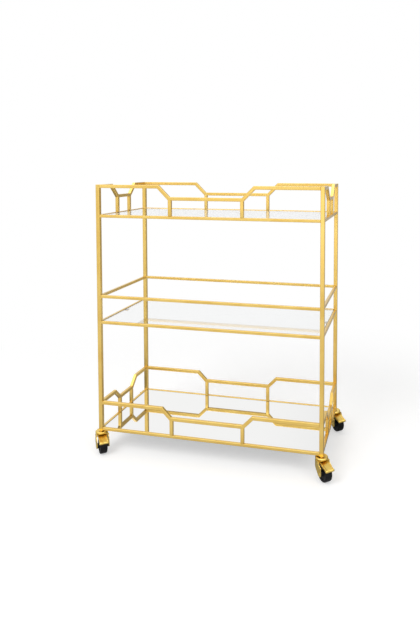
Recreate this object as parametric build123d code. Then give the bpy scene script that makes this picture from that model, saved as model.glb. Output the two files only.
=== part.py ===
from build123d import *
import math
import os

# Bar cart: a three-tier frame of welded square tube on four braked swivel casters.
# The top and middle shelves are clear glass and the bottom shelf is a mirror.
# Millimetres. X runs along the width, Y along the depth with the front at -Y,
# and Z runs up from the floor. The origin is on the floor under the middle of the cart.

# Frame tubes
post_pitch_x = 704.0
post_pitch_y = 307.5
post_size = 12.7
post_wall = 1.2
rail_size = 9.0
rail_wall = 1.0
gallery_size = 10.5
gallery_wall = 1.0
cap_thickness = 2.0
insert_clearance = 0.05

# Tier heights, each counted from the top of one rail to the top of the next
lower_bay_height = 341.1
upper_bay_height = 334.6
bottom_gallery_height = 85.1
middle_guard_height = 82.0
top_gallery_height = 93.5

# Notch in the middle of each gallery rail, dropped on two mitred 45 degree runs
long_notch_half = 115.7
short_notch_half = 41.2
top_notch_drop = 35.7
bottom_notch_drop = 29.3
notch_slope = 45.0

# Shelves, and the tabs and clear pads that carry them
glass_thickness = 5.0
glass_drop = 1.5
glass_edge_clearance = 1.0
glass_corner_clearance = 0.9
pad_side = 8.0
pad_thickness = 1.0
tab_width = 20.0
tab_depth = 10.0
tab_thickness = 1.5
long_tab_spacing = 300.0

# Caster wheel and its hub
wheel_radius = 25.0
tread_width = 22.0
tread_shoulder = 3.5
hub_radius = 8.0
hub_side_clearance = 0.5
wheel_trail = 18.0
axle_radius = 2.5
running_clearance = 0.05

# Caster fork, pressed from sheet
fork_width = 38.6
fork_sheet = 2.2
fork_rise = 31.0
fork_bend_radius = 3.5
fork_front = -8.5
fork_back = 24.0
fork_plate_back = 13.0
fork_foot_radius = 8.5
fork_horn_radius = 5.0
fork_waist = 17.0
rivet_proud = 1.0

# Swivel: the ring over the fork, its seat for the post, and the stem riveted through both
collar_radius = 19.0
collar_height = 6.2
collar_shoulder = 2.9
swivel_gap = 0.3
seat_radius = 5.5
seat_height = 1.3
stem_radius = 4.0
stem_length = 24.0
stem_head_radius = 5.5
stem_head_height = 1.8
socket_length = 26.0

# Brake pedal, shown pressed down on the tyre
pedal_pin_x = 9.0
pedal_pin_below_plate = 4.2
pedal_pin_radius = 1.5
pedal_eye_radius = 3.3
pedal_width = 26.6
pedal_sheet = 1.2
pedal_recess = 0.8
pedal_band = 2.6
pedal_slope = 14.0
pedal_flange_depth = 6.4
pedal_knee = 9.0
pedal_reach = 45.0
toe_radius = 4.0
toe_length = 30.0
toe_bevel = 1.6
toe_rise = 0.6
tyre_gap = 0.33

# Which way each caster trails, in degrees from +X
headings = {"front_left": -50.0, "front_right": -50.0, "back_left": 130.0, "back_right": -50.0}

# Heights that follow from the sizes above
axle_height = wheel_radius
plate_underside = axle_height + fork_rise
plate_top = plate_underside + fork_sheet
collar_bottom = plate_top + swivel_gap
collar_top = collar_bottom + collar_height
post_bottom = collar_top + seat_height
bottom_rail_top = post_bottom + rail_size
middle_rail_top = bottom_rail_top + lower_bay_height
top_rail_top = middle_rail_top + upper_bay_height
frame_top = top_rail_top + top_gallery_height
bottom_gallery_top = bottom_rail_top + bottom_gallery_height
middle_guard_top = middle_rail_top + middle_guard_height

half_x = post_pitch_x / 2
half_y = post_pitch_y / 2
post_inner = post_size - 2 * post_wall
notch_half = {
    "front": long_notch_half,
    "back": long_notch_half,
    "left": short_notch_half,
    "right": short_notch_half,
}
corners = {
    "front_left": (-half_x, -half_y),
    "front_right": (half_x, -half_y),
    "back_left": (-half_x, half_y),
    "back_right": (half_x, half_y),
}
sides = ("front", "back", "left", "right")


def save(shape, node):
    """Write one sub-part under its own name."""
    export_step(shape, f"parts/{node}.step")


def on_side(shape, side):
    """Carry a piece drawn along X over the origin to its side of the frame."""
    turns = {"front": 0, "back": 180, "left": -90, "right": 90}
    shift = {"front": (0, -half_y), "back": (0, half_y), "left": (-half_x, 0), "right": (half_x, 0)}
    x, y = shift[side]
    return Pos(x, y, 0) * Rot(0, 0, turns[side]) * shape


def clear_span(side):
    """Length between the two posts that a rail on this side meets."""
    pitch = post_pitch_x if side in ("front", "back") else post_pitch_y
    return pitch - post_size


def square_tube(length, size, wall):
    """Square tube along X, centred on the origin, open at both ends."""
    return Box(length, size, size) - Box(length, size - 2 * wall, size - 2 * wall)


def post():
    """Upright corner tube, full height."""
    height = frame_top - post_bottom
    tube = Rot(0, 90, 0) * square_tube(height, post_size, post_wall)
    return Pos(0, 0, post_bottom + height / 2) * tube


def post_cap():
    """Plate welded flush inside the top of a post."""
    side = post_inner - 2 * insert_clearance
    return Pos(0, 0, frame_top - cap_thickness / 2) * Box(side, side, cap_thickness)


def straight_rail(side, top):
    """Shelf or guard rail between two posts, given the height of its top face."""
    tube = square_tube(clear_span(side), rail_size, rail_wall)
    return on_side(Pos(0, 0, top - rail_size / 2) * tube, side)


def mitre_corner(points, i, offset):
    """Point where the line offset from a bent centre line crosses its mitre at vertex i."""
    before = points[i] - points[i - 1] if i > 0 else points[1] - points[0]
    after = points[i + 1] - points[i] if i < len(points) - 1 else before
    normal = Vector(-before.Y, before.X).normalized()
    next_normal = Vector(-after.Y, after.X).normalized()
    mitre = (normal + next_normal).normalized()
    return points[i] + mitre * (offset / mitre.dot(normal))


def mitred_runs(points, size, wall):
    """Square tube along a bent centre line in the XZ plane, one mitre-cut solid per run."""
    runs = []
    for i in range(len(points) - 1):
        layers = []
        for half in (size / 2, size / 2 - wall):
            outline = [
                mitre_corner(points, i, half),
                mitre_corner(points, i + 1, half),
                mitre_corner(points, i + 1, -half),
                mitre_corner(points, i, -half),
            ]
            face = Plane.XZ * make_face(Polyline(*outline, close=True))
            layers.append(extrude(face, amount=half, both=True))
        runs.append(layers[0] - layers[1])
    return runs


def gallery_rail(side, top, drop):
    """Gallery rail: level at the posts, dropped between two mitred slopes in the middle."""
    end = clear_span(side) / 2
    high = top - gallery_size / 2
    low = high - drop
    foot = notch_half[side]
    kink = foot + drop / math.tan(math.radians(notch_slope))
    outline = [(-end, high), (-kink, high), (-foot, low), (foot, low), (kink, high), (end, high)]
    points = [Vector(x, z) for x, z in outline]
    runs = mitred_runs(points, gallery_size, gallery_wall)
    return Compound(children=[on_side(run, side) for run in runs])


def gallery_uprights(shelf_top, gallery_top, drop):
    """Short tubes on the shelf rails that carry the low middle of each gallery rail."""
    low_underside = gallery_top - gallery_size - drop
    height = low_underside - shelf_top
    inset = gallery_size / 2 * math.tan(math.radians(notch_slope / 2))
    upright = Rot(0, 90, 0) * square_tube(height, gallery_size, gallery_wall)
    tube = Pos(0, 0, shelf_top + height / 2) * upright
    uprights = []
    for side in sides:
        place = notch_half[side] - inset
        for x in (-place, place):
            uprights.append(on_side(Pos(x, 0, 0) * tube, side))
    return Compound(children=uprights)


def shelf_panel(rail_top):
    """Glass or mirror pane inside the rails, its corners rounded to pass the posts."""
    length = post_pitch_x - rail_size - 2 * glass_edge_clearance
    width = post_pitch_y - rail_size - 2 * glass_edge_clearance
    intrusion = (post_size - rail_size) / 2 - glass_edge_clearance
    corner = (intrusion + glass_corner_clearance) / (1 - math.sqrt(0.5))
    pane = extrude(RectangleRounded(length, width, corner), amount=-glass_thickness)
    return Pos(0, 0, rail_top - glass_drop) * pane


def tab_places():
    """Where the shelf tabs stand: each side and the distance along it."""
    places = []
    for side in ("front", "back"):
        for x in (-long_tab_spacing, 0, long_tab_spacing):
            places.append((side, x))
    for side in ("left", "right"):
        places.append((side, 0))
    return places


def shelf_tabs():
    """Flat tabs welded to the inner faces of the shelf rails, under the panes."""
    tabs = []
    for rail_top in (bottom_rail_top, middle_rail_top, top_rail_top):
        tab_top = rail_top - glass_drop - glass_thickness - pad_thickness
        for side, x in tab_places():
            y = rail_size / 2 + tab_depth / 2
            tab = Pos(x, y, tab_top - tab_thickness / 2) * Box(tab_width, tab_depth, tab_thickness)
            tabs.append(on_side(tab, side))
    return Compound(children=tabs)


def shelf_pads():
    """Clear square pads between the tabs and the panes."""
    pads = []
    for rail_top in (bottom_rail_top, middle_rail_top, top_rail_top):
        pad_top = rail_top - glass_drop - glass_thickness
        for side, x in tab_places():
            y = rail_size / 2 + tab_depth / 2 + glass_edge_clearance / 2
            pad = Pos(x, y, pad_top - pad_thickness / 2) * Box(pad_side, pad_side, pad_thickness)
            pads.append(on_side(pad, side))
    return Compound(children=pads)


def caster_socket():
    """Square plug in the foot of a post, bored for the caster stem."""
    side = post_inner - 2 * insert_clearance
    block = Box(side, side, socket_length) - Cylinder(stem_radius + insert_clearance, socket_length)
    return Pos(0, 0, post_bottom + socket_length / 2) * block


def turned(outline):
    """Solid turned about Z from its half outline, listed as radius and height."""
    return revolve(Plane.XZ * make_face(Polyline(*outline, close=True)), Axis.Z)


def caster_stem():
    """Stem gripped in the socket above, headed over below the fork plate that swivels on it."""
    head_top = plate_underside - swivel_gap
    head_bottom = head_top - stem_head_height
    stem_top = post_bottom + stem_length
    return turned([
        (0, head_bottom),
        (stem_head_radius, head_bottom),
        (stem_head_radius, head_top),
        (stem_radius, head_top),
        (stem_radius, stem_top),
        (0, stem_top),
    ])


def bearing_ring():
    """Swivel ring with the ball race closed in under it, rising in the middle to a seat for the post."""
    bore = stem_radius + insert_clearance
    # Two bevels stand for the rolled edge, meeting halfway round its quarter circle
    step = collar_shoulder * (1 - math.sqrt(0.5))
    return turned([
        (bore, collar_bottom),
        (collar_radius - collar_shoulder, collar_bottom),
        (collar_radius - step, collar_bottom + step),
        (collar_radius, collar_bottom + collar_shoulder),
        (collar_radius, collar_top - collar_shoulder),
        (collar_radius - step, collar_top - step),
        (collar_radius - collar_shoulder, collar_top),
        (seat_radius, post_bottom),
        (bore, post_bottom),
    ])


def cross_bar(radius, x, z, length):
    """Round bar across the caster, along Y."""
    return Pos(x, 0, z) * (Rot(90, 0, 0) * Cylinder(radius, length))


def leg_outline():
    """Side view of the fork: drawn in below its waist to a round foot, with an arch behind it."""
    foot = Pos(wheel_trail, axle_height) * Circle(fork_foot_radius)
    front_edge = Line((fork_front, plate_top), (fork_front, plate_top - fork_waist))
    top_edge = Line((fork_front, plate_top), (fork_back, plate_top))
    arch = Pos(fork_back, plate_underside) * Circle(fork_back - fork_plate_back)
    leg = make_hull([*foot.edges(), front_edge, top_edge]) - arch
    # The corner where the arch runs out into the leg's back edge is rounded
    arch_foot = leg.edges().filter_by(GeomType.CIRCLE).sort_by(Axis.Y)[-1].vertices().sort_by(Axis.Y)[0]
    return fillet(leg.vertices().sort_by_distance(arch_foot)[0], fork_horn_radius)


def channel(height, width, bend_radius):
    """Block along X, its two upper edges rounded, with its top at the origin."""
    length = wheel_trail + fork_foot_radius - fork_front
    block = Pos(fork_front + length / 2, 0, -height / 2) * Box(length, width, height)
    return fillet(block.edges().filter_by(Axis.X).group_by(Axis.Z)[-1], bend_radius)


def fork():
    """Pressed fork: a top plate folded down into two legs that hold the axle and the pedal pin."""
    height = plate_top - axle_height + fork_foot_radius
    outside = Pos(0, 0, plate_top) * channel(height, fork_width, fork_bend_radius)
    inside_width = fork_width - 2 * fork_sheet
    inside = Pos(0, 0, plate_underside) * channel(height, inside_width, fork_bend_radius - fork_sheet)
    silhouette = extrude(Plane.XZ * leg_outline(), amount=fork_width / 2, both=True)
    shell = (outside - inside) & silhouette
    bore = Pos(0, 0, plate_underside) * Cylinder(stem_radius + running_clearance, 2 * fork_rise)
    shell -= bore
    shell -= cross_bar(axle_radius + insert_clearance, wheel_trail, axle_height, fork_width)
    shell -= cross_bar(pedal_pin_radius + insert_clearance, pedal_pin_x, pedal_pin_z, fork_width)
    return shell


def caster_rivets():
    """Axle rivet and pedal rivet, both fixed in the fork and a little proud of its legs."""
    length = fork_width + 2 * rivet_proud
    axle = cross_bar(axle_radius, wheel_trail, axle_height, length)
    pin = cross_bar(pedal_pin_radius, pedal_pin_x, pedal_pin_z, length)
    return Compound(children=[axle, pin])


def wheel():
    """Moulded wheel with a bevelled tread and a hub that fills the fork."""
    half_tread = tread_width / 2
    half_hub = fork_width / 2 - fork_sheet - hub_side_clearance
    bore = axle_radius + running_clearance
    solid = turned([
        (bore, -half_hub),
        (hub_radius, -half_hub),
        (hub_radius, -half_tread),
        (wheel_radius - tread_shoulder, -half_tread),
        (wheel_radius, tread_shoulder - half_tread),
        (wheel_radius, half_tread - tread_shoulder),
        (wheel_radius - tread_shoulder, half_tread),
        (hub_radius, half_tread),
        (hub_radius, half_hub),
        (bore, half_hub),
    ])
    return Pos(wheel_trail, 0, axle_height) * (Rot(90, 0, 0) * solid)


def pedal_top(x):
    """Height of the pedal's side bands at a distance from the swivel axis."""
    return pedal_line_z - (x - pedal_pin_x) * math.tan(math.radians(pedal_slope))


# The pedal's panel rests the tyre gap above the tread, where a line at its slope is tangent to the wheel
pedal_pin_z = plate_underside - pedal_pin_below_plate
pedal_panel_depth = pedal_recess + pedal_sheet
pedal_line_z = (
    axle_height
    + (wheel_radius + tyre_gap) / math.cos(math.radians(pedal_slope))
    + (wheel_trail - pedal_pin_x) * math.tan(math.radians(pedal_slope))
    + pedal_panel_depth
)
toe_z = pedal_top(pedal_reach) - toe_radius + toe_rise


def pedal_cut(start, end, below, low, width):
    """Block under or over the pedal's slope, from one distance along it to another."""
    outline = Polygon(
        (start, pedal_top(start) - below),
        (end, pedal_top(end) - below),
        (end, low),
        (start, low),
        align=None,
    )
    return extrude(Plane.XZ * outline, amount=width / 2, both=True)


def brake_pedal():
    """Pressed pedal: a channel with a sunk panel, hinged under the plate, with a round toe bar."""
    eye = Pos(pedal_pin_x, pedal_pin_z) * Circle(pedal_eye_radius)
    knee = pedal_pin_x + pedal_knee
    arm = Polygon(
        (pedal_pin_x, pedal_pin_z + pedal_eye_radius),
        (pedal_reach, pedal_top(pedal_reach)),
        (pedal_reach, pedal_top(pedal_reach) - pedal_flange_depth),
        (knee, pedal_top(knee) - pedal_flange_depth),
        (pedal_pin_x, pedal_pin_z - pedal_eye_radius),
        align=None,
    )
    body = extrude(Plane.XZ * (eye + arm), amount=pedal_width / 2, both=True)
    panel_start = pedal_pin_x + pedal_eye_radius
    panel_end = pedal_reach - toe_radius / 2
    body -= pedal_cut(0, panel_end, pedal_panel_depth, 0, pedal_width - 2 * pedal_sheet)
    body -= pedal_cut(panel_start, panel_end, pedal_recess, plate_top, pedal_width - 2 * pedal_band)
    toe = cross_bar(toe_radius, pedal_reach, toe_z, toe_length)
    body += chamfer(toe.edges().filter_by(GeomType.CIRCLE), toe_bevel)
    return body - cross_bar(pedal_pin_radius + running_clearance, pedal_pin_x, pedal_pin_z, pedal_width)


def at_caster(shape, corner):
    """Turn a caster piece to its heading and set it under its post."""
    x, y = corners[corner]
    return Pos(x, y, 0) * Rot(0, 0, headings[corner]) * shape


def at_posts(shape):
    """The same fixed piece at all four posts, as separate solids."""
    return Compound(children=[Pos(x, y, 0) * shape for x, y in corners.values()])


os.makedirs("parts", exist_ok=True)

for corner, (x, y) in corners.items():
    save(Pos(x, y, 0) * post(), f"post_{corner}")

for side in sides:
    for tier, top in (("bottom", bottom_rail_top), ("middle", middle_rail_top), ("top", top_rail_top)):
        save(straight_rail(side, top), f"{tier}_shelf_rail_{side}")
    save(straight_rail(side, middle_guard_top), f"middle_guard_rail_{side}")
    save(gallery_rail(side, frame_top, top_notch_drop), f"top_gallery_rail_{side}")
    save(gallery_rail(side, bottom_gallery_top, bottom_notch_drop), f"bottom_gallery_rail_{side}")

save(gallery_uprights(top_rail_top, frame_top, top_notch_drop), "top_gallery_uprights")
save(gallery_uprights(bottom_rail_top, bottom_gallery_top, bottom_notch_drop), "bottom_gallery_uprights")
save(shelf_panel(top_rail_top), "top_glass_shelf")
save(shelf_panel(middle_rail_top), "middle_glass_shelf")
save(shelf_panel(bottom_rail_top), "bottom_mirror_shelf")
save(shelf_tabs(), "shelf_tabs")
save(shelf_pads(), "shelf_pads")
save(at_posts(post_cap()), "post_top_caps")
save(at_posts(caster_socket()), "caster_sockets")
save(at_posts(bearing_ring()), "swivel_bearing_rings")

for corner in corners:
    save(at_caster(caster_stem(), corner), f"caster_stem_{corner}")
    save(at_caster(fork(), corner), f"caster_fork_{corner}")
    save(at_caster(caster_rivets(), corner), f"caster_rivets_{corner}")
    save(at_caster(wheel(), corner), f"caster_wheel_{corner}")
    save(at_caster(brake_pedal(), corner), f"brake_pedal_{corner}")

print(f"post bottom {post_bottom:.2f}, frame top {frame_top:.2f}")
print(f"pedal side line at the pin {pedal_line_z:.2f}, toe bar height {toe_z:.2f}")
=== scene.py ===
# %% [markdown]
# # A bar cart in gold tube, clear glass and mirror
#
# This file dresses a finished model of a three-tier bar cart. The model already says where every
# piece is and how it moves. Here each piece gets the surface that the eye sees: tube with softly
# rounded edges, panes with polished edges, casters in pressed and plated steel. Lengths are in
# millimetres where a maker would say them, and are turned to metres when a mesh is made.

# %% Load the model
import math

import bmesh
import bpy
import numpy as np
from mathutils import Matrix, Vector


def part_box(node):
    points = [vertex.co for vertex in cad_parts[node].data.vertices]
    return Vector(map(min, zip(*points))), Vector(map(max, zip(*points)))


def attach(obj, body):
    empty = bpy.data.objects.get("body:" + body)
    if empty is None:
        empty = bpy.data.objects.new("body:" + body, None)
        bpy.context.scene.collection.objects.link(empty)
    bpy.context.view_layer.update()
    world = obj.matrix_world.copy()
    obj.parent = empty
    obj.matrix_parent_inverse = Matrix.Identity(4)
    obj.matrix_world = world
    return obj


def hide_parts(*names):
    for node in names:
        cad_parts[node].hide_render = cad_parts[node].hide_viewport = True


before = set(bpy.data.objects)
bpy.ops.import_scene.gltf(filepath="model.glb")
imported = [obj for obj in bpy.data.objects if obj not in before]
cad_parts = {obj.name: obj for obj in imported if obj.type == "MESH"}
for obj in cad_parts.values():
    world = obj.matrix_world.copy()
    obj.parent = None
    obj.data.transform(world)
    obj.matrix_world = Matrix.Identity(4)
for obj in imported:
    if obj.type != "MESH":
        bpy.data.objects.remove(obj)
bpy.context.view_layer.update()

MM = 0.001

# %% [markdown]
# ## The camera
#
# The camera stands to the right of the cart, a little above its top, and looks down by less than
# three degrees. It could be aimed at the cart and tilted down, but then the posts would lean
# together. The uprights stay nearly parallel because the lens is shifted instead: the lens looks
# almost level and the picture is taken from its lower left part.

# %% Camera
camera_place = np.array([574.3, -1672.6, 898.7]) * MM
camera_turn = math.radians(12.528)
camera_drop = math.radians(2.758)
camera_roll = math.radians(0.118)
lens_mm = 30.99
picture_width = 420
picture_height = 630
lens_axis_x = 283.27
lens_axis_y = 193.46
far_clip = 60.0

camera_data = bpy.data.cameras.new("camera")
camera_data.lens = lens_mm
camera_data.shift_x = (picture_width / 2 - lens_axis_x) / picture_height
camera_data.shift_y = (lens_axis_y - picture_height / 2) / picture_height
camera_data.clip_end = far_clip
camera = bpy.data.objects.new("camera", camera_data)
bpy.context.scene.collection.objects.link(camera)
turn = Matrix.Rotation(camera_turn, 4, "Z")
tilt = Matrix.Rotation(math.pi / 2 - camera_drop, 4, "X")
roll = Matrix.Rotation(camera_roll, 4, "Z")
camera.matrix_world = Matrix.Translation(camera_place) @ turn @ tilt @ roll
bpy.context.scene.camera = camera
print("lens shift:", round(camera_data.shift_x, 4), round(camera_data.shift_y, 4))

# %% [markdown]
# ## Colour and shader helpers
#
# Colours are picked as they look on a screen and written as hex values. Shaders work in linear
# light, so one function turns the first into the second. The finishes could each be wired by hand,
# but they are all one shader varied by noise on the piece's own coordinates. So one function
# wires that, and each finish below is a short list of what the eye would notice.

# %% Colour and node helpers
def linear(hex_colour):
    """Linear RGBA of an sRGB hex value: each channel by the sRGB curve."""
    value = np.array([int(hex_colour[i:i + 2], 16) for i in (1, 3, 5)]) / 255
    low = value / 12.92
    high = ((value + 0.055) / 1.055) ** 2.4
    return (*np.where(value <= 0.04045, low, high).tolist(), 1.0)


def cleared_tree(owner):
    """The node tree of a material or a world, emptied."""
    owner.use_nodes = True
    owner.node_tree.nodes.clear()
    return owner.node_tree


def add_node(tree, kind, settings=None, links=None):
    """Adds one shader node. Settings name its sockets or properties, links name its sockets."""
    made = tree.nodes.new(kind)
    for name, value in (settings or {}).items():
        if name in made.inputs:
            made.inputs[name].default_value = value
        else:
            setattr(made, name, value)
    for name, source in (links or {}).items():
        tree.links.new(source, made.inputs[name])
    return made


def object_noise(tree, size_mm, detail=2.0):
    """Noise on the piece's own coordinates whose grains are about this many millimetres across."""
    place = add_node(tree, "ShaderNodeTexCoord").outputs["Object"]
    return add_node(
        tree,
        "ShaderNodeTexNoise",
        {"Scale": 1 / (size_mm * MM), "Detail": detail},
        {"Vector": place},
    ).outputs["Fac"]


def ramp(tree, source, stops):
    """Colour ramp through (place, hex colour) stops."""
    made = add_node(tree, "ShaderNodeValToRGB", links={"Fac": source})
    elements = made.color_ramp.elements
    while len(elements) < len(stops):
        elements.new(0.5)
    for element, (place, colour) in zip(elements, stops):
        element.position = place
        element.color = linear(colour)
    return made.outputs["Color"]


def fade(tree, value, start, end, low=0.0, high=1.0, curve="SMOOTHSTEP"):
    """A value that is low up to the start and high from the end on."""
    limits = {"From Min": start, "From Max": end, "To Min": low, "To Max": high, "interpolation_type": curve}
    return add_node(tree, "ShaderNodeMapRange", limits, {"Value": value}).outputs["Result"]


def bump(tree, source, depth_mm, strength):
    """Bump of this real depth from a height value."""
    return add_node(
        tree,
        "ShaderNodeBump",
        {"Strength": strength, "Distance": depth_mm * MM},
        {"Height": source},
    ).outputs["Normal"]


def finish(name, settings, drift, tones=None, roughness=None, grain=None, relief=None):
    """A material of one Principled shader with these socket values, varied by noise.

    Drift is the noise that runs through the tones, as (place, hex colour) stops, and spreads the
    roughness over its range. Grain is a noise of its own, and relief the depth of its bump.
    """
    material = bpy.data.materials.new(name)
    tree = cleared_tree(material)
    shader = add_node(tree, "ShaderNodeBsdfPrincipled", settings)
    add_node(tree, "ShaderNodeOutputMaterial", links={"Surface": shader.outputs[0]})
    noise = object_noise(tree, **drift)
    if tones:
        tree.links.new(ramp(tree, noise, tones), shader.inputs["Base Color"])
    if roughness:
        varied = fade(tree, noise, 0.35, 0.65, *roughness, curve="LINEAR")
        tree.links.new(varied, shader.inputs["Roughness"])
    if grain:
        height = object_noise(tree, **grain)
        tree.links.new(bump(tree, height, **relief), shader.inputs["Normal"])
    return material

# %% [markdown]
# ## Gold on welded steel tube
#
# The frame is mild steel tube, welded, ground, plated and sealed with a clear satin lacquer. A
# flat gold colour would look painted on, so the tone drifts by a few percent over some
# centimetres and the roughness drifts with it. A very fine orange peel in the lacquer keeps the
# broad faces from looking like plastic.

# %% Satin gold for the tube
# Gives the eye warm brass reflections, soft bright edges and the lacquer's paler sheen
gold_tube = finish(
    "satin_gold_lacquer",
    {"Metallic": 1.0, "Roughness": 0.36, "Coat Weight": 0.5, "Coat Roughness": 0.2},
    drift={"size_mm": 45},
    tones=[(0.35, "#E9C263"), (0.5, "#EDC86A"), (0.65, "#F1CE72")],
    roughness=(0.30, 0.36),
    grain={"size_mm": 1.2, "detail": 3.0},
    relief={"depth_mm": 0.02, "strength": 0.05},
)
print("made", gold_tube.name)

# %% [markdown]
# ## Gold plate on pressed steel
#
# The casters are bought in. Their forks and pedals are pressed from sheet and barrel plated. They
# could share the tube's finish, but they carry no lacquer, so they lack its pale sheen, and the
# tumbling leaves a faint cloudiness.

# %% Plated gold for the casters
# Gives the eye a smooth satin gold, a little deeper than the tube and faintly cloudy
gold_caster = finish(
    "plated_gold_steel",
    {"Metallic": 1.0, "Roughness": 0.3},
    drift={"size_mm": 14},
    tones=[(0.35, "#E8C566"), (0.5, "#EBCB6E"), (0.65, "#EED076")],
    roughness=(0.27, 0.33),
    grain={"size_mm": 0.8},
    relief={"depth_mm": 0.01, "strength": 0.2},
)
print("made", gold_caster.name)

# %% [markdown]
# ## Glass and mirror
#
# The panes are 5 mm float glass, so clear that the eye mostly gets reflections and grey edges.
# Iron in real glass tints long paths through it, and an absorbing volume could show that. On
# panes this clear a surface colour one step off white does nearly the same. Wiping leaves faint
# smears, so the roughness varies by a hair. The mirror is the same glass silvered below, and from
# above the silver is all that shows, with grey paint on its back.

# %% Glass, mirror and mirror backing
# Gives the eye a clear view through, sharp reflections and greyer edges
clear_glass = finish(
    "clear_float_glass",
    {"Base Color": linear("#F5F6F6"), "Roughness": 0.0, "IOR": 1.5, "Transmission Weight": 1.0},
    drift={"size_mm": 60, "detail": 1.0},
    roughness=(0.0, 0.02),
)
# Gives the eye a bright and nearly sharp image of what stands over it
mirror_silver = finish(
    "silvered_mirror",
    {"Base Color": linear("#F8F8F7"), "Metallic": 1.0, "Roughness": 0.01},
    drift={"size_mm": 70, "detail": 1.0},
    roughness=(0.004, 0.02),
)
# Gives the eye matt grey with fine specks, and only from below
mirror_back = finish(
    "mirror_back_paint",
    {"Roughness": 0.5, "IOR": 1.5},
    drift={"size_mm": 2.5},
    tones=[(0.3, "#A4A8AB"), (0.7, "#B2B6B8")],
)
print("made", clear_glass.name, mirror_silver.name, mirror_back.name)

# %% [markdown]
# ## Black tread, clear pads and plain steel
#
# The wheels are moulded in black thermoplastic rubber. Plain black would leave a hole in the
# picture, so fine dust greys it in places. The pads under the glass are soft vinyl, which is
# milky where light crosses it. The sockets and stems are zinc plated and nobody sees them, but
# they get their own finish all the same.

# %% Rubber, vinyl and zinc
# Gives the eye a near black with a soft uneven sheen and a fine moulded grain
wheel_rubber = finish(
    "black_moulded_rubber",
    {"Roughness": 0.5, "IOR": 1.45, "Specular IOR Level": 0.25},
    drift={"size_mm": 4, "detail": 4.0},
    tones=[(0.4, "#0C0C0D"), (0.62, "#141415"), (0.8, "#1E1E1F")],
    roughness=(0.36, 0.55),
    grain={"size_mm": 0.7},
    relief={"depth_mm": 0.03, "strength": 0.4},
)
# Gives the eye a pale blur between tab and glass
pad_vinyl = finish(
    "clear_vinyl_pad",
    {"Base Color": linear("#F2F4F3"), "Roughness": 0.3, "IOR": 1.45, "Transmission Weight": 0.4},
    drift={"size_mm": 1.5},
    roughness=(0.22, 0.36),
)
# Gives the eye a cool grey metal with a fine spangle
plain_steel = finish(
    "zinc_plated_steel",
    {"Metallic": 1.0, "Roughness": 0.4},
    drift={"size_mm": 1.8, "detail": 3.0},
    tones=[(0.35, "#A9ABAD"), (0.65, "#C4C6C8")],
)
print("made", wheel_rubber.name, pad_vinyl.name, plain_steel.name)

# %% [markdown]
# ## From arrays to pieces
#
# Every new piece below is a surface worked out as one numpy array of points, ring after ring. A
# grid of rings only needs its quads listed once, so one helper lists them and another turns
# points and faces into a finished piece: it sets smooth shading with crisp corners, hangs the
# piece on the moving body that carries it and hides the plain model piece it stands for.

# %% Mesh helpers
def ring_quads(rings, points, closed_rings):
    """Quads between neighbouring rings of points, each ring closed on itself.

    Quad (i, j) joins points j and j+1 of ring i to the same points of ring i+1.
    With closed_rings the last ring is joined to the first as well.
    """
    last = rings if closed_rings else rings - 1
    i, j = np.meshgrid(np.arange(last), np.arange(points), indexing="ij")
    next_i = (i + 1) % rings
    next_j = (j + 1) % points
    corners = [i * points + j, i * points + next_j, next_i * points + next_j, next_i * points + j]
    return np.stack([c.ravel() for c in corners], axis=1).tolist()


def mesh_object(name, points, faces, material):
    """A new object in the scene from points in millimetres."""
    mesh = bpy.data.meshes.new(name)
    mesh.from_pydata((np.asarray(points).reshape(-1, 3) * MM).tolist(), [], faces)
    mesh.materials.append(material)
    made = bpy.data.objects.new(name, mesh)
    bpy.context.scene.collection.objects.link(made)
    return made


def finish_piece(name, surface, material, node, body, crisp_angle=38):
    """A piece of the cart from (points, faces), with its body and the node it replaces."""
    points, faces = surface
    piece = mesh_object(name, points, faces, material)
    piece.data.polygons.foreach_set("use_smooth", np.ones(len(faces), bool))
    piece.data.set_sharp_from_angle(angle=math.radians(crisp_angle))
    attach(piece, body)
    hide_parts(node)
    return piece


def box_mm(node):
    """Lowest and highest corner of a model piece in millimetres."""
    low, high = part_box(node)
    return np.array(low) / MM, np.array(high) / MM


def middle_mm(node):
    """Middle of a model piece in millimetres."""
    return sum(box_mm(node)) / 2


print("a tube of 4 rings of 28 points has", len(ring_quads(4, 28, True)), "quads")

# %% [markdown]
# ## Square tube with rolled edges
#
# Square tube is rolled from strip, so its long edges are round, with a radius a little over the
# wall thickness. Those thin round edges catch the light and are what makes the frame read as
# metal. A plain box with a bevel would do for a straight rail, but the gallery rails are bent and
# mitred, so here one outline is carried along a path, and at each mitre the ring of points leans
# into the mitre plane. The inside of the tube is carried back the other way, which closes the
# surface at both ends with no caps.
#
# A flat face only shades flat if its corner points carry its own normal. So the outline has one
# extra point just past each arc, and the path has one extra ring on each side of a mitre.

# %% Outline of the tube
settle = 0.15


def rounded_square(size, radius, grow=0.0, steps=6):
    """Square outline with round corners, counter-clockwise, as (points, 2).

    Each corner is a quarter circle about a centre set in from the sides by the radius, with one
    point added a settle distance past each end of the arc. Grow moves the whole outline outwards.
    """
    radius = radius + grow
    centre = size / 2 + grow - radius
    angle = np.linspace(0, math.pi / 2, steps)
    arc = centre + radius * np.column_stack([np.cos(angle), np.sin(angle)])
    before = [[centre + radius, centre - settle]]
    after = [[centre - settle, centre + radius]]
    corner = np.vstack([before, arc, after])
    quarter_turn = np.array([[0, 1], [-1, 0]])
    turned_corners = [corner @ np.linalg.matrix_power(quarter_turn, k) for k in range(4)]
    return np.vstack(turned_corners)


print("points in one outline:", len(rounded_square(12.7, 1.8)))

# %% Ends of the tube
lip_radius = 0.45
weld_leg = 0.9
weld_sink = 0.35
sunk_gap = 0.04
sunk_depth = 1.6
end_steps = np.linspace(0, math.pi / 2, 5)
end_curve = np.column_stack([1 - np.sin(end_steps), 1 - np.cos(end_steps)])


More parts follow.
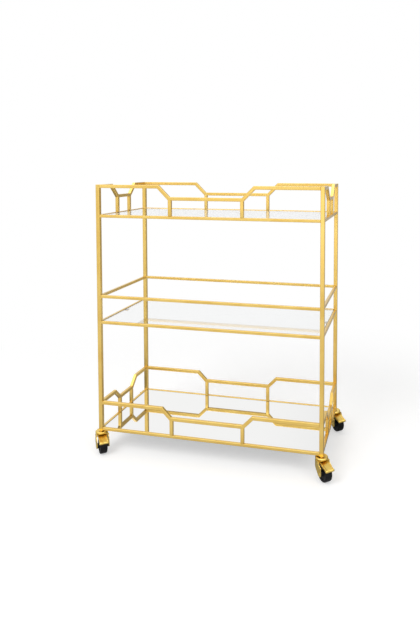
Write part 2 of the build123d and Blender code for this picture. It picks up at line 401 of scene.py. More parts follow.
def lip_end():
    """Open end with a rounded lip: (distance from the end, growth) on a quarter circle inwards."""
    return lip_radius * end_curve * [1, -1]


def weld_end():
    """End welded to a face: a concave quarter circle outwards, and a last ring sunk in the face."""
    return np.vstack([weld_leg * end_curve, [[-weld_sink, weld_leg]]])


def sunk_end():
    """End let into a tube of the same width: two rings a hair inside it."""
    return np.array([[settle, 0.0], [0.0, -sunk_gap], [-sunk_depth, -sunk_gap]])


# %% Tube surface
def path_frames(path, across):
    """Directions of the runs of a path, and for each path point the vector that spans its mitre.

    On a run the outline's first axis is the cross product of the axis across and the run. At a
    bend it is the mean of the two neighbours' axes, lengthened by one over the cosine of half
    the bend, so that the outline keeps its width on both runs.
    """
    runs = np.diff(path, axis=0)
    runs = runs / np.linalg.norm(runs, axis=1, keepdims=True)
    normals = np.cross(across, runs)
    before = np.vstack([normals[:1], normals])
    after = np.vstack([normals, normals[-1:]])
    mean = before + after
    mean = mean / np.linalg.norm(mean, axis=1, keepdims=True)
    spans = mean / np.sum(mean * before, axis=1, keepdims=True)
    return runs, spans


def skin_rings(path, across, size, radius, start, end):
    """Rings of one skin of a tube: (rings, points, 3), from the start of the path to its end."""
    runs, spans = path_frames(path, across)
    places = [path[0] + runs[0] * d for d, _ in start[::-1]]
    axes = [spans[0]] * len(start)
    grows = [g for _, g in start[::-1]]
    for k in range(1, len(path) - 1):
        places += [path[k] - runs[k - 1] * settle, path[k], path[k] + runs[k] * settle]
        axes += [spans[k]] * 3
        grows += [0.0] * 3
    places += [path[-1] - runs[-1] * d for d, _ in end]
    axes += [spans[-1]] * len(end)
    grows += [g for _, g in end]
    outlines = np.stack([rounded_square(size, radius, grow) for grow in grows])
    places = np.array(places)[:, None, :]
    axes = np.array(axes)[:, None, :]
    return places + outlines[:, :, :1] * axes + outlines[:, :, 1:] * across


def inner_end(end):
    """The end of the bore: a lip widens it as it narrows the outside, behind a weld it is straight."""
    return end * [1, -1] if end[-1, 1] < 0 else end[-1:] * [1, 0]


def tube(path, across, size, wall, edge_radius, start, end):
    """Points and quads of a hollow square tube: its outer skin, then its inner skin backwards."""
    path = np.asarray(path, float)
    outer = skin_rings(path, across, size, edge_radius, start, end)
    bore = size - 2 * wall
    inner = skin_rings(path, across, bore, edge_radius - wall, inner_end(start), inner_end(end))
    rings = np.concatenate([outer, inner[::-1]])
    return rings.reshape(-1, 3), ring_quads(rings.shape[0], rings.shape[1], True)


# %% [markdown]
# ## Posts and straight rails
#
# Four posts carry everything, and the rails are cut to fit between them. Each could be a scaled
# copy of one tube, but that would squash the round edges, so every tube is worked out at its own
# length. Posts end in a rounded lip, and rails in the small fillet of a weld.

# %% Posts and straight rails
post_wall = 1.2
post_edge_radius = 1.9
rail_wall = 1.0
rail_edge_radius = 1.6
corners = ("front_left", "front_right", "back_left", "back_right")
sides = ("front", "back", "left", "right")
along_x = np.array([1.0, 0.0, 0.0])
along_y = np.array([0.0, 1.0, 0.0])


def directions(extent):
    """The axis along the longest side of a box, and a level axis across it."""
    run = np.eye(3)[np.argmax(extent)]
    return run, along_x if run[1] else along_y


def straight_tube(node, wall, edge_radius, end):
    """A tube along the middle of the model piece's box, which ends alike on both sides."""
    low, high = box_mm(node)
    run, across = directions(high - low)
    half_run = run * (high - low) / 2
    path = [middle_mm(node) - half_run, middle_mm(node) + half_run]
    surface = tube(path, across, np.dot(high - low, across), wall, edge_radius, end, end)
    return finish_piece(f"{node}_skin", surface, gold_tube, node, "frame")


posts = [straight_tube(f"post_{corner}", post_wall, post_edge_radius, lip_end()) for corner in corners]
print("posts:", len(posts), "with", len(posts[0].data.polygons), "faces each")
rail_nodes = [f"{tier}_shelf_rail_{side}" for tier in ("bottom", "middle", "top") for side in sides]
rail_nodes += [f"middle_guard_rail_{side}" for side in sides]
rails = [straight_tube(node, rail_wall, rail_edge_radius, weld_end()) for node in rail_nodes]
print("straight rails:", len(rails))

# %% [markdown]
# ## Gallery rails
#
# Round the top and the bottom shelf runs a rail that drops in the middle of each side, down two
# short slopes, to a low run that stands on two uprights. On the real frame five lengths of tube
# are mitred and welded, so the bends are sharp. A curve with a bevel would round them, while the
# leaning rings of the tube surface keep every mitre crisp.

# %% Gallery rails
gallery_size = 10.5
gallery_edge_radius = 1.7
notch_half = {"front": 115.7, "back": 115.7, "left": 41.2, "right": 41.2}
notch_slope = math.radians(45)


def make_gallery(node, side):
    """A gallery rail with its notch. The drop is the height of the box less one tube."""
    low, high = box_mm(node)
    run, across = directions(high - low)
    half = np.dot(high - low, run) / 2
    drop = high[2] - low[2] - gallery_size
    kink = notch_half[side] + drop / math.tan(notch_slope)
    level = high[2] - gallery_size / 2
    distance = np.array([-half, -kink, -notch_half[side], notch_half[side], kink, half])
    height = np.array([level, level, level - drop, level - drop, level, level])
    path = middle_mm(node) * [1, 1, 0] + distance[:, None] * run + height[:, None] * [0, 0, 1]
    points, faces = tube(path, across, gallery_size, rail_wall, gallery_edge_radius, weld_end(), weld_end())
    # The welds are ground flush on top, level with the ends of the posts
    points[:, 2] = np.minimum(points[:, 2], high[2])
    return finish_piece(f"{node}_skin", (points, faces), gold_tube, node, "frame")


gallery_tiers = ("top", "bottom")
galleries = [make_gallery(f"{tier}_gallery_rail_{side}", side) for tier in gallery_tiers for side in sides]
print("gallery rails:", len(galleries), "with", len(galleries[0].data.polygons), "faces each")

# %% Uprights under the low runs
def joined(parts):
    """Several (points, faces) pairs as one, the face numbers shifted past the points before them."""
    starts = np.cumsum([0] + [len(points) for points, _ in parts[:-1]])
    faces = [[int(i + start) for i in face] for (_, each), start in zip(parts, starts) for face in each]
    return np.vstack([points for points, _ in parts]), faces


def make_uprights(tier):
    """The eight short tubes of one gallery, from the shelf rails to the low runs."""
    node = f"{tier}_gallery_uprights"
    low, high = box_mm(node)
    half_x = middle_mm(f"{tier}_shelf_rail_right")[0]
    half_y = middle_mm(f"{tier}_shelf_rail_back")[1]
    inset = gallery_size / 2 * math.tan(notch_slope / 2)
    long_place = notch_half["front"] - inset
    short_place = notch_half["left"] - inset
    places = [(sx * long_place, sy * half_y) for sx in (-1, 1) for sy in (-1, 1)]
    places += [(sx * half_x, sy * short_place) for sx in (-1, 1) for sy in (-1, 1)]
    parts = []
    for x, y in places:
        path = [[x, y, low[2]], [x, y, high[2]]]
        skin = tube(path, along_y, gallery_size, rail_wall, gallery_edge_radius, lip_end(), sunk_end())
        parts.append(skin)
    return finish_piece(f"{node}_skin", joined(parts), gold_tube, node, "frame")


uprights = [make_uprights(tier) for tier in gallery_tiers]
print("uprights:", len(uprights), "sets")

# %% [markdown]
# ## Panes, tabs, pads and caps
#
# A pane of glass is a flat plate whose edge has been ground and polished to a fine arris. The
# tabs, pads and post caps are plates as well, only smaller, so one surface serves them all: a
# rounded rectangle carried up a small edge profile, and closed by one flat face above and below.
# A Bevel modifier on a box gives the same edge but not the round corners that clear the posts.

# %% Plate surface
def rounded_rectangle(length, width, radius, steps=9):
    """Outline of a rectangle with round corners, counter-clockwise, as (points, 2)."""
    angle = np.linspace(0, math.pi / 2, steps)[None, :] + (np.arange(4) * math.pi / 2)[:, None]
    centre_x = np.array([1, -1, -1, 1])[:, None] * (length / 2 - radius)
    centre_y = np.array([1, 1, -1, -1])[:, None] * (width / 2 - radius)
    x = centre_x + radius * np.cos(angle)
    y = centre_y + radius * np.sin(angle)
    return np.column_stack([x.ravel(), y.ravel()])


def plate(low, high, corner_radius, arris):
    """Flat plate in a box: outlines at four heights, set in by the arris at the bottom and the top."""
    middle = (low + high) / 2
    length, width, _ = high - low
    levels = [(low[2], arris), (low[2] + arris, 0.0), (high[2] - arris, 0.0), (high[2], arris)]
    rings = []
    for height, inset in levels:
        outline = rounded_rectangle(length - 2 * inset, width - 2 * inset, corner_radius - inset)
        rings.append(np.column_stack([outline + middle[:2], np.full(len(outline), height)]))
    count = len(rings[0])
    faces = ring_quads(4, count, False)
    faces.append(list(range(count))[::-1])
    faces.append(list(range(3 * count, 4 * count)))
    return np.vstack(rings), faces


# %% Glass and mirror panes
pane_corner_radius = 9.0
pane_arris = 0.5


def make_pane(node, material):
    """A pane that fills the model piece's box."""
    low, high = box_mm(node)
    surface = plate(low, high, pane_corner_radius, pane_arris)
    return finish_piece(f"{node}_pane", surface, material, node, "frame", crisp_angle=25)


glass_panes = [make_pane(f"{tier}_glass_shelf", clear_glass) for tier in ("top", "middle")]
mirror_pane = make_pane("bottom_mirror_shelf", mirror_silver)
mirror_pane.data.materials.append(mirror_back)
face_normals = np.empty(len(mirror_pane.data.polygons) * 3)
mirror_pane.data.polygons.foreach_get("normal", face_normals)
looks_down = face_normals.reshape(-1, 3)[:, 2] < -0.5
mirror_pane.data.polygons.foreach_set("material_index", looks_down.astype(int))
print("glass panes:", len(glass_panes), "and a mirror; faces of backing paint:", int(looks_down.sum()))

# %% Tabs, pads and post caps
tab_corner = 1.2
pad_corner = 1.5
cap_corner = 0.8
fine_arris = 0.25
cap_arris = 0.35
cap_drop = 0.15
# A film of air over each pad keeps its top off the plane of the glass, where both would render black
air_film = 0.05


def solid_boxes(node):
    """Boxes of the separate solids in a model node, as (lowest, highest) corners in millimetres.

    A copy of the mesh is merged, and its points are numbered by the loose part they belong to.
    """
    merged = bmesh.new()
    merged.from_mesh(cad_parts[node].data)
    bmesh.ops.remove_doubles(merged, verts=merged.verts, dist=1e-6)
    waiting = set(merged.verts)
    found = []
    while waiting:
        island = [waiting.pop()]
        for vert in island:
            linked = {edge.other_vert(vert) for edge in vert.link_edges} & waiting
            waiting -= linked
            island.extend(linked)
        spots = np.array([vert.co for vert in island]) / MM
        found.append((spots.min(axis=0), spots.max(axis=0)))
    merged.free()
    return found


def make_plates(node, corner_radius, arris, material, lowered=0.0):
    """One small plate in the box of each solid of the node, with its top lowered by this much."""
    boxes = solid_boxes(node)
    parts = [plate(low, high - [0, 0, lowered], corner_radius, arris) for low, high in boxes]
    return finish_piece(f"{node}_finished", joined(parts), material, node, "frame")


tabs = make_plates("shelf_tabs", tab_corner, fine_arris, gold_tube)
pads = make_plates("shelf_pads", pad_corner, fine_arris, pad_vinyl, lowered=air_film)
caps = make_plates("post_top_caps", cap_corner, cap_arris, gold_tube, lowered=cap_drop)
print("faces of tabs, pads and caps:", *[len(piece.data.polygons) for piece in (tabs, pads, caps)])

# %% [markdown]
# ## Where each caster stands
#
# A caster is the same in its own frame, whichever way it has swung. So its pieces are worked out
# once, with the swivel axis at the origin and the wheel trailing along the first axis, and then
# carried to a post and turned. The model says how far: from the post to the wheel's axle.

# %% Caster frames
axle_height = 25.0
caster_frames = {}
# All four casters trail alike, so the length that the last turn of this loop finds serves them all
for corner in corners:
    stand = middle_mm(f"post_{corner}") * [1, 1, 0]
    trail = (middle_mm(f"caster_wheel_{corner}") - stand) * [1, 1, 0]
    trail_length = np.linalg.norm(trail)
    ahead = trail / trail_length
    caster_frames[corner] = (stand, ahead, np.array([-ahead[1], ahead[0], 0.0]))
    heading = math.degrees(math.atan2(ahead[1], ahead[0]))
    print(corner, "trails by", round(trail_length, 2), "at", round(heading, 1))


def at_caster(points, corner):
    """Points of a caster's own frame carried to its post and turned to its heading."""
    stand, ahead, sideways = caster_frames[corner]
    points = np.asarray(points).reshape(-1, 3)
    return stand + points[:, :1] * ahead + points[:, 1:2] * sideways + points[:, 2:] * [0, 0, 1]


def on_casters(surface, name, node, body, material=gold_caster):
    """The same surface on all four casters. In the names {} stands for the caster's corner."""
    points, faces = surface
    made = []
    for corner in corners:
        names = [each.format(corner) for each in (name, node, body)]
        placed = (at_caster(points, corner), faces)
        made.append(finish_piece(names[0], placed, material, names[1], names[2]))
    return made


# %% [markdown]
# ## Turned pieces
#
# The swivel rings, the wheels, the rivets and the toe bars are round. A lathe would make them by
# turning a profile about an axis, and so does the next surface: radius and height along the axis
# are listed once, and one sweep of the angle gives all the points. A Screw modifier could sweep
# as well, but then the poles of the solid ones would not close in a single point.

# %% Turned surface
def swept(profile, steps):
    """Rings of a (radius, height) profile: ring i, point k is at radius i and angle k."""
    profile = np.asarray(profile, float)
    angle = np.linspace(0, 2 * math.pi, steps, endpoint=False)
    height = np.repeat(profile[:, 1:], steps, axis=1)
    return np.stack([profile[:, :1] * np.cos(angle), profile[:, :1] * np.sin(angle), height], axis=2)


def turned(profile, steps):
    """Closed solid of revolution, whose profile starts and ends on the axis.

    The first and last points stay single, so both poles are closed by triangles.
    """
    rings = swept(profile[1:-1], steps)
    poles = np.array([[0, 0, profile[0, 1]], [0, 0, profile[-1, 1]]])
    count = rings.shape[0] * steps
    faces = ring_quads(rings.shape[0], steps, False)
    last = count - steps
    faces += [[count, (k + 1) % steps, k] for k in range(steps)]
    faces += [[count + 1, last + k, last + (k + 1) % steps] for k in range(steps)]
    return np.vstack([rings.reshape(-1, 3), poles]), faces


def turned_ring(profile, steps=72):
    """Closed solid of revolution with a bore: the profile is a loop, so its last ring joins its first."""
    return swept(profile, steps).reshape(-1, 3), ring_quads(len(profile), steps, True)


def arc(centre_radius, centre_height, radius, start, end, steps=9):
    """Points of a profile on an arc, angles in degrees from straight out, counter-clockwise."""
    angle = np.radians(np.linspace(start, end, steps))
    return np.column_stack([centre_radius + radius * np.cos(angle), centre_height + radius * np.sin(angle)])


def laid_across(points, x, z):
    """Carries a piece turned about the upright axis over to the axis across the caster."""
    return np.column_stack([x + points[:, 0], points[:, 2], z - points[:, 1]])


# %% Swivel rings
collar_radius = 19.0
collar_bottom = 58.5
collar_top = 64.7
post_foot = box_mm("post_front_left")[0][2]
ring_bore = 4.05
hollow_radius = 14.0
hollow_depth = 0.6
hollow_flank = 0.3
dish_radius = 14.2
dish_depth = 0.8
dish_flank = 1.4
dish_lip = 0.1
seat_radius = 5.5
seat_fillet = 1.0


def collar_profile():
    """Swivel ring: hollow underneath, bull-nosed round its rim, dished on top and raised to a seat."""
    nose = (collar_top - collar_bottom) / 2
    middle = (collar_top + collar_bottom) / 2
    floor_z = collar_bottom + hollow_depth
    dish_z = collar_top - dish_depth
    seat_foot = seat_radius + seat_fillet
    return np.vstack(
        [
            [[ring_bore, floor_z], [hollow_radius, floor_z], [hollow_radius + hollow_flank, collar_bottom]],
            arc(collar_radius - nose, middle, nose, -90, 90, 17),
            [[dish_radius, collar_top - dish_lip], [dish_radius - dish_flank, dish_z], [seat_foot, dish_z]],
            arc(seat_foot, dish_z + seat_fillet, seat_fillet, 270, 180, 5),
            [[seat_radius, post_foot], [ring_bore, post_foot]],
        ]
    )


points, faces = turned_ring(collar_profile())
surface = joined([(at_caster(points, corner), faces) for corner in corners])
node = "swivel_bearing_rings"
rings = finish_piece(f"{node}_turned", surface, gold_caster, node, "frame")
print("swivel rings have", len(rings.data.polygons), "faces together")

# %% Wheels
wheel_radius = 25.0
tread_width = 22.0
tread_edge = 3.5
wheel_bore = 2.55
hub_half = 16.6
hub_flat = 7.0
hub_arris = 0.8
hub_foot = 8.2
web_fillet = 1.0
web_depth = 2.0
web_outer = 16.8
rim_inner = 18.0
rim_flat = 18.3
rim_outer = 20.6
rim_arris = 0.2


def half_wheel():
    """Profile of one side of the wheel, from the axis out: hub, sunk web, rounded tread edge."""
    half = tread_width / 2
    web_z = half - web_depth + web_fillet
    return np.vstack(
        [
            [[wheel_bore, hub_half], [hub_flat, hub_half]],
            arc(hub_flat, hub_half - hub_arris, hub_arris, 90, 0, 4)[1:],
            [[hub_foot, web_z - rim_arris]],
            arc(hub_foot + web_fillet, web_z, web_fillet, 180, 270, 4)[1:],
            [[web_outer, half - web_depth]],
            arc(web_outer, web_z, web_fillet, -90, 0, 4)[1:],
            [[rim_inner, half - rim_arris], [rim_flat, half], [rim_outer, half]],
            arc(wheel_radius - tread_edge, half - tread_edge, tread_edge, 90, 0, 10)[1:],
        ]
    )


side = half_wheel()
points, faces = turned_ring(np.vstack([side * [1, -1], side[::-1]]))
surface = (laid_across(points, trail_length, axle_height), faces)
wheels = on_casters(
    surface, "caster_wheel_{}_moulded", "caster_wheel_{}", "wheel_{}", wheel_rubber
)
print("wheels:", len(wheels), "with", len(wheels[0].data.polygons), "faces each")

# %% Rivets
fork_half = 19.3
pedal_pin_x = 9.0
pedal_pin_z = 51.8
axle_shank = 2.5
axle_head = 4.2
pedal_shank = 1.5
pedal_head = 2.55
head_height = 1.6
head_sink = 0.05


def rivet(radius, head_radius, x, z):
    """Rivet across the fork: a shank and a shallow dome on each leg."""
    dome = (head_radius**2 + head_height**2) / (2 * head_height)
    slope = math.degrees(math.asin(head_radius / dome))
    head = arc(0, fork_half + head_height - dome, dome, 90 - slope, 90, 8)
    under = [[radius, fork_half - head_sink], [head_radius, fork_half - head_sink]]
    upper = np.vstack([under, head])
    upper[-1, 0] = 0
    profile = np.vstack([(upper * [1, -1])[::-1], upper])
    points, faces = turned(profile, 28)
    return laid_across(points, x, z), faces


wheel_axle = rivet(axle_shank, axle_head, trail_length, axle_height)
pedal_pin = rivet(pedal_shank, pedal_head, pedal_pin_x, pedal_pin_z)
surface = joined([wheel_axle, pedal_pin])
rivets = on_casters(surface, "caster_rivets_{}_domed", "caster_rivets_{}", "caster_{}")
print("rivets:", len(rivets), "sets")

# %% [markdown]
# ## The pressed fork
#
# The fork is one blank of sheet steel, folded down on both sides of the swivel and drawn in to a
# round foot at the axle. It could be cut from a block by booleans, but sheet is easier to say as
# sheet: one line runs up a leg, over the bend and down the other leg, and at each place on it
# the strap has a front edge and a back edge. A Solidify modifier then gives the sheet its
# thickness and a Bevel modifier rounds the sheared edges.

# %% Fork outline
plate_top = 58.2
bend_radius = 3.5
foot_radius = 8.5
fork_front = -8.5
waist_z = 41.2
arch_centre = np.array([24.0, 56.0])
arch_radius = 11.0
horn_radius = 5.0
sheet = 2.2
sheared_edge = 0.5
sheared_angle = math.radians(50)


def foot_tangent(x, z, side):
    """Where a line from (x, z) touches the foot's circle.

    The radius to that point stands off the line to the centre by the arccosine of the radius
    over the distance, on the side given as 1 or -1.
    """
    centre = np.array([trail_length, axle_height])
    distance = math.hypot(x - trail_length, z - axle_height)
    angle = math.atan2(z - axle_height, x - trail_length) + side * math.acos(foot_radius / distance)
    return centre + foot_radius * np.array([math.cos(angle), math.sin(angle)])


front_touch = foot_tangent(fork_front, waist_z, 1)
back_touch = foot_tangent(arch_centre[0], plate_top, -1)
back_run = np.array([arch_centre[0], plate_top]) - back_touch
back_run = back_run / np.linalg.norm(back_run)
# The horn's centre lies its radius inside the back line and both radii from the arch's centre
offset_line = back_touch + horn_radius * np.array([-back_run[1], back_run[0]])
to_arch = offset_line - arch_centre
reach = arch_radius + horn_radius
along = -to_arch @ back_run - math.sqrt((to_arch @ back_run) ** 2 - to_arch @ to_arch + reach**2)
horn_centre = offset_line + along * back_run
horn_low = back_touch + along * back_run
horn_high = arch_centre + (horn_centre - arch_centre) * arch_radius / reach
print("horn from", horn_low.round(2), "to", horn_high.round(2))


def circle_reach(height, centre_z, radius):
    """Half chord of a circle at a height."""
    return np.sqrt(np.clip(radius**2 - (height - centre_z) ** 2, 0, None))


def leg_edges(height):
    """Front and back edge of a leg at each height.

    Both start on the foot's circle. The front edge runs straight from it to the waist and then
    up. The back edge runs up to the horn's circle, and from there follows the arch.
    """
    chord = circle_reach(height, axle_height, foot_radius)
    flank = np.interp(height, [front_touch[1], waist_z], [front_touch[0], fork_front])
    front = np.where(height < front_touch[1], trail_length - chord, flank)
    line = back_touch[0] + (height - back_touch[1]) * back_run[0] / back_run[1]
    horn = horn_centre[0] + circle_reach(height, horn_centre[1], horn_radius)
    arch = arch_centre[0] - circle_reach(np.minimum(height, arch_centre[1]), arch_centre[1], arch_radius)
    back = np.where(height < back_touch[1], trail_length + chord, line)
    back = np.where(height > horn_low[1], horn, back)
    return front, np.where(height > horn_high[1], arch, back)


# %% Fork surface
def angles_between(low, high, centre_z, radius, steps):
    """Heights between two on a circle, evenly spaced by angle."""
    start, end = (math.asin(np.clip((z - centre_z) / radius, -1, 1)) for z in (low, high))
    return centre_z + radius * np.sin(np.linspace(start, end, steps))


def sheet_quads(rows, columns):
    """Quads of an open grid."""
    i, j = np.meshgrid(np.arange(rows - 1), np.arange(columns - 1), indexing="ij")
    quads = [i * columns + j, i * columns + j + 1, (i + 1) * columns + j + 1, (i + 1) * columns + j]
    return np.stack([q.ravel() for q in quads], axis=1).tolist()


def fork_grid(columns=17):
    """One line runs up a leg, over the bend and down the other leg, and each place has two edges.

    In front of the swivel the sheet curves in: there y shrinks by the root of 1 - (x / half)^2,
    so that the fork's front follows the ring above it.
    """
    leg_top = plate_top - bend_radius
    # Rows of points lie closer where the outline is round: at the foot, the horn, the arch and the bend
    foot = axle_height - foot_radius * np.cos(np.radians(np.linspace(4, 84, 10)))
    straight = np.append(np.linspace(axle_height + 1, horn_low[1], 8), waist_z)
    horn = angles_between(horn_low[1], horn_high[1], horn_centre[1], horn_radius, 7)
    arch = angles_between(horn_high[1], leg_top, arch_centre[1], arch_radius, 12)
    height = np.unique(np.concatenate([foot, straight, horn, arch]).round(6))
    bend = np.radians(np.linspace(0, 90, 8))[1:]
    bend_y = bend_radius * (1 - np.cos(bend)) - fork_half
    side_y = np.concatenate([np.full(len(height), -fork_half), bend_y])
    side_z = np.concatenate([height, leg_top + bend_radius * np.sin(bend)])
    top_y = np.linspace(side_y[-1], 0, 7)[1:]
    half_y = np.concatenate([side_y, top_y])
    half_z = np.concatenate([side_z, np.full(len(top_y), plate_top)])
    line_y = np.concatenate([half_y, -half_y[-2::-1]])
    line_z = np.concatenate([half_z, half_z[-2::-1]])
    front, back = leg_edges(line_z)
    share = (1 - np.cos(np.linspace(0, math.pi, columns))) / 2
    x = front[:, None] + (back - front)[:, None] * share
    y = line_y[:, None] * np.sqrt(1 - (np.minimum(x, 0) / fork_half) ** 2)
    return np.stack([x, y, np.repeat(line_z[:, None], columns, axis=1)], axis=2)


def thicken(piece, thickness):
    """Gives a sheet its thickness on its inner side."""
    solidify = piece.modifiers.new("sheet", "SOLIDIFY")
    solidify.thickness = thickness * MM
    solidify.offset = -1


grid = fork_grid()
surface = (grid, sheet_quads(*grid.shape[:2]))
forks = on_casters(surface, "caster_fork_{}_pressed", "caster_fork_{}", "caster_{}")
for fork in forks:
    thicken(fork, sheet)
    soften = fork.modifiers.new("sheared edges", "BEVEL")
    soften.width = sheared_edge * MM
    soften.segments = 2
    soften.limit_method = "ANGLE"
    soften.angle_limit = sheared_angle
print("forks:", len(forks), "with", len(forks[0].data.polygons), "faces before thickness")

# %% [markdown]
# ## The brake pedal
#
# The pedal is pressed from thinner sheet: a channel whose sides turn up in two rounded bands,
# with the panel sunk between them and a rolled toe bar at its end. Carried along its length, one
# cross-section gives the whole pressing, and only the depth of its sides changes on the way.

# %% Pedal surface
pedal_half = 13.3
pedal_sheet = 1.2
pedal_band = 2.6
pedal_recess = 0.8
pedal_slope = math.radians(14)
pedal_line_z = 55.35
pedal_reach = 45.0
pedal_tail = 2.6
pedal_lip = 1.0
panel_flank = 0.7
panel_crease = 5.0
panel_sag = 0.05


def pedal_grid():
    """Cross-section across y: side, round band, small step down, panel, and the same mirrored."""
    station = np.linspace(pedal_pin_x - pedal_tail, pedal_reach - pedal_lip, 18)
    line = pedal_line_z - (station - pedal_pin_x) * math.tan(pedal_slope)
    depth = np.interp(station, [station[0], pedal_pin_x, 18, 40, station[-1]], [5.6, 6.8, 6.4, 6.4, 4.8])
    crown = np.radians(np.linspace(180, 60, 6))
    band_radius = pedal_band / 2
    band_y = -pedal_half + band_radius * (1 + np.cos(crown))
    band_z = band_radius * (np.sin(crown) - 1)
    band_inner = pedal_band - pedal_half
    step_y = np.array([band_inner, band_inner + panel_flank, -panel_crease, 0.0])
    step_z = -pedal_recess * np.array([0.6, 1, 1, 1]) - panel_sag * np.array([0, 0, 1, 2])
    section_y = np.concatenate([[-pedal_half, -pedal_half], band_y, step_y])
    rise = np.concatenate([band_z, step_z])
    grid_x, grid_y = np.broadcast_arrays(station[:, None], section_y[None, :])
    side_z = np.stack([line - depth, line - depth / 2], axis=1)
    grid_z = np.hstack([side_z, line[:, None] + rise[None, :]])
    half = np.stack([grid_x, grid_y, grid_z], axis=2)
    mirrored = half[:, -2::-1] * [1, -1, 1]
    return np.concatenate([half, mirrored], axis=1)


grid = pedal_grid()
# The section runs the other way round than the fork's, so its quads are listed backwards
surface = (grid, [[a, d, c, b] for a, b, c, d in sheet_quads(*grid.shape[:2])])
pedals = on_casters(surface, "brake_pedal_{}_pressed", "brake_pedal_{}", "pedal_{}")
for pedal in pedals:
    thicken(pedal, pedal_sheet)
print("pedals:", len(pedals), "with", len(pedals[0].data.polygons), "faces before thickness")

# %% Toe bars
toe_half = 15.0
toe_round = 3.5
toe_waist = 3.55
toe_bulge = 0.45
toe_z = 42.97


def toe_bar():
    """Toe bar turned about the axis across: two bulges with a slight waist and round ends.

    Its radius is the waist plus the bulge times sin(pi s)^2 at the share s of its half length,
    and over its last part it closes on the quarter circle sqrt(1 - t^2).
    """
    spot = np.linspace(-toe_half, toe_half, 41)
    swell = toe_waist + toe_bulge * np.sin(math.pi * np.abs(spot) / toe_half) ** 2
    past_round = (np.abs(spot) - (toe_half - toe_round)) / toe_round
    end = np.sqrt(1 - past_round.clip(0, 1) ** 2)
    points, faces = turned(np.column_stack([swell * end, spot]), 32)
    return laid_across(points, pedal_reach, toe_z), faces


toes = on_casters(toe_bar(), "brake_pedal_toe_{}", "brake_pedal_{}", "pedal_{}")
print("toe bars:", len(toes))

# %% [markdown]
# ## Hidden fittings
#
# The sockets in the posts and the stems of the casters are closed in all round. They could get
# surfaces of their own too, but nobody would see them, so the plain model pieces stay and only
# take their finish.

# %% Zinc for the hidden fittings
hidden_fittings = ["caster_sockets"] + [f"caster_stem_{corner}" for corner in corners]
for node in hidden_fittings:
    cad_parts[node].data.materials.clear()
    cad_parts[node].data.materials.append(plain_steel)
print("model pieces kept:", len(hidden_fittings))

# %% [markdown]
# ## Floor and backdrop
#
# The cart is shown on white with a soft grey shadow. A floor can only be white in the picture if
# it is lit very strongly, which would bleach the gold. So the floor is an ordinary pale surface,
# and to the camera, also through glass, it gives off what it lacks to white. Its shadow stays,
# because the paint under the glow still darkens. Further off nothing shades the floor, so there
# it fades to plain white and meets the white backdrop with no horizon.
#
# Gold shows what it mirrors, and a floor this bright would bleach its lower sides. So metal meets
# a floor of plain grey light instead, with the cart's shadow painted into it: darkest under the
# cart, bright in front, middling behind.

# %% Math and ray helpers
def math_node(tree, operation, *values):
    """Result of one Math node; each value is a socket or a number."""
    made = add_node(tree, "ShaderNodeMath", {"operation": operation})
    for place, value in enumerate(values):
        if isinstance(value, (int, float)):
            made.inputs[place].default_value = value
        else:
            tree.links.new(value, made.inputs[place])
    return made.outputs[0]


def mixed(tree, share, first, second):
    """Mix of two shaders, the second one by this share."""
    made = add_node(tree, "ShaderNodeMixShader", links={"Fac": share})
    tree.links.new(first, made.inputs[1])
    tree.links.new(second, made.inputs[2])
    return made.outputs[0]


def by_ray(tree, camera, gloss, others):
    """One surface for the camera's rays, also through glass, one for glossy rays, one for others.

    Rays through clear glass count as glossy too, so the camera's and the glass's are mixed in last.
    """
    rays = add_node(tree, "ShaderNodeLightPath").outputs
    seen = math_node(tree, "MAXIMUM", rays["Is Camera Ray"], rays["Is Transmission Ray"])
    return mixed(tree, seen, mixed(tree, rays["Is Glossy Ray"], others, gloss), camera)


# %% Floor
floor_size = 14000.0
floor_albedo = "#D9D9D9"
floor_glow = 0.46
shade_reach = 700.0
white_reach = 1500.0
# Strengths of the floor that metal sees; the low one under the cart is a painted shadow
floor_front = 0.85
floor_under_painted_shadow = 0.25
floor_back = 0.54


def make_floor():
    """One square whose shader tells the camera's rays, those from metal and all others apart."""
    half = floor_size / 2
    material = bpy.data.materials.new("pale_studio_floor")
    tree = cleared_tree(material)
    paint = add_node(tree, "ShaderNodeBsdfDiffuse", {"Color": linear(floor_albedo)}).outputs[0]
    glow = add_node(tree, "ShaderNodeEmission", {"Strength": floor_glow}).outputs[0]
    white = add_node(tree, "ShaderNodeEmission", {"Strength": 1.0}).outputs[0]
    lifted = add_node(tree, "ShaderNodeAddShader")
    tree.links.new(paint, lifted.inputs[0])
    tree.links.new(glow, lifted.inputs[1])
    spot = add_node(tree, "ShaderNodeTexCoord").outputs["Object"]
    length = add_node(tree, "ShaderNodeVectorMath", {"operation": "LENGTH"}, {"Vector": spot})
    far = fade(tree, length.outputs["Value"], start=shade_reach * MM, end=white_reach * MM)
    shown = mixed(tree, far, lifted.outputs[0], white)
    behind = add_node(tree, "ShaderNodeSeparateXYZ", links={"Vector": spot}).outputs["Y"]
    # Metal sees the floor darkest under the cart: a painted shadow, set by a strength and not cast by the
    # lamps
    up_to_cart = fade(tree, behind, start=-0.35, end=-0.05, low=floor_front, high=floor_under_painted_shadow)
    past_cart = fade(tree, behind, start=0.05, end=0.3, low=0.0, high=floor_back)
    dimmed = math_node(tree, "MAXIMUM", up_to_cart, past_cart)
    reflected = add_node(tree, "ShaderNodeEmission", links={"Strength": dimmed}).outputs[0]
    surface = by_ray(tree, camera=shown, gloss=reflected, others=paint)
    add_node(tree, "ShaderNodeOutputMaterial", links={"Surface": surface})
    # The glow lights nothing, so the renderer is told not to aim light rays at it
    material.cycles.emission_sampling = "NONE"
    outline = [[-half, -half, 0], [half, -half, 0], [half, half, 0], [-half, half, 0]]
    return mesh_object("floor", outline, [[0, 1, 2, 3]], material)


floor = make_floor()
print("floor:", floor_size / 1000, "m square")

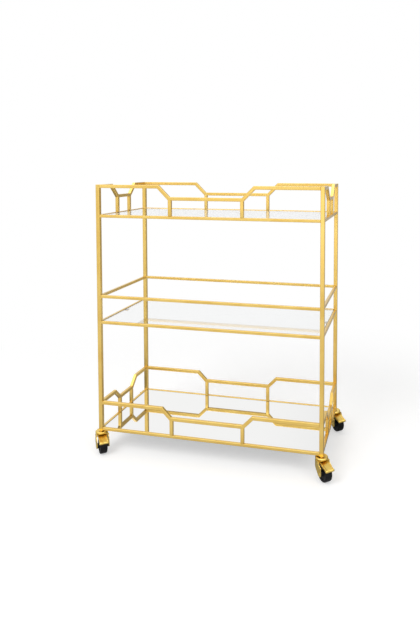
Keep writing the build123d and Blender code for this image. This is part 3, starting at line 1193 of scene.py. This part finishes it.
# %% [markdown]
# ## The studio round the cart
#
# Polished metal has no colour of its own making: it shows the room in gold. In a room that is
# white all round it turns flat, so product studios leave parts of it dark. Here metal sees a
# white backdrop that turns dim to the right, a bright low panel in front that fades upwards, and
# a bright sky. That gives each tube light faces, shaded faces and a bright top line. Diffuse rays
# get a plain soft dome instead, and the camera sees only white.
#
# Two soft boxes add the shadow on the floor. They are hidden from glossy rays, to which they
# would show as hard white squares.

# %% World
dome_strength = 0.64
backdrop_white = 0.95
right_dimmed = 0.38
front_low = 0.92
front_bright = 1.7
front_high = 0.45
sky_bright = 2.3


def make_world():
    """White to the camera and through glass, a studio with dim parts to gloss, else a dome."""
    world = bpy.data.worlds.new("studio")
    bpy.context.scene.world = world
    tree = cleared_tree(world)
    direction = add_node(tree, "ShaderNodeTexCoord").outputs["Generated"]
    part = add_node(tree, "ShaderNodeSeparateXYZ", links={"Vector": direction}).outputs
    x, y, z = part["X"], part["Y"], part["Z"]
    dome = ramp(tree, z, [(0.0, "#9A9A9A"), (0.3, "#D8D8D8"), (0.8, "#FFFFFF")])
    soft = add_node(tree, "ShaderNodeBackground", {"Strength": dome_strength}, {"Color": dome}).outputs[0]
    white = add_node(tree, "ShaderNodeBackground", {"Color": (1, 1, 1, 1)}).outputs[0]
    side = fade(tree, x, start=-0.25, end=0.4, low=backdrop_white, high=right_dimmed)
    high = fade(tree, z, start=0.45, end=0.75, low=0.0, high=backdrop_white)
    back = math_node(tree, "MAXIMUM", side, high)
    left_edge = fade(tree, x, start=-0.5, end=-0.15, low=front_low, high=front_bright)
    right_edge = fade(tree, x, start=0.1, end=0.5, low=front_bright, high=front_low)
    upper_edge = fade(tree, z, start=0.2, end=0.45, low=front_bright, high=front_high)
    panel = math_node(tree, "MINIMUM", left_edge, right_edge)
    panel = math_node(tree, "MINIMUM", panel, upper_edge)
    sky = fade(tree, z, start=0.3, end=0.85, low=0.0, high=sky_bright)
    front = math_node(tree, "MAXIMUM", panel, sky)
    behind = fade(tree, y, start=0.0, end=0.4)
    gloss = math_node(tree, "MULTIPLY_ADD", behind, math_node(tree, "SUBTRACT", back, front), front)
    studio = add_node(tree, "ShaderNodeBackground", links={"Color": gloss}).outputs[0]
    surface = by_ray(tree, camera=white, gloss=studio, others=soft)
    add_node(tree, "ShaderNodeOutputWorld", links={"Surface": surface})


make_world()
print("world made")

# %% Lamps
middle_of_cart = (0, 0, 0.42)


def soft_box(name, place, size, power):
    """Square lamp at a place in metres, turned to face the middle of the cart."""
    data = bpy.data.lights.new(name, "AREA")
    data.size = size
    data.energy = power
    lamp = bpy.data.objects.new(name, data)
    lamp.visible_glossy = False
    bpy.context.scene.collection.objects.link(lamp)
    backwards = (Vector(place) - Vector(middle_of_cart)).normalized()
    lamp.matrix_world = Matrix.Translation(place) @ backwards.to_track_quat("Z", "Y").to_matrix().to_4x4()
    return lamp


key = soft_box("key soft box", place=(-1.2, -2.2, 2.6), size=1.8, power=45)
fill = soft_box("fill soft box", place=(1.9, -1.6, 1.6), size=1.6, power=14)
print("lamps:", key.name, fill.name)

# %% [markdown]
# ## Output
#
# The Standard view shows a colour about as it is written, so the hex values above can be
# compared with a picture.

bpy.context.scene.view_settings.view_transform = "Standard"
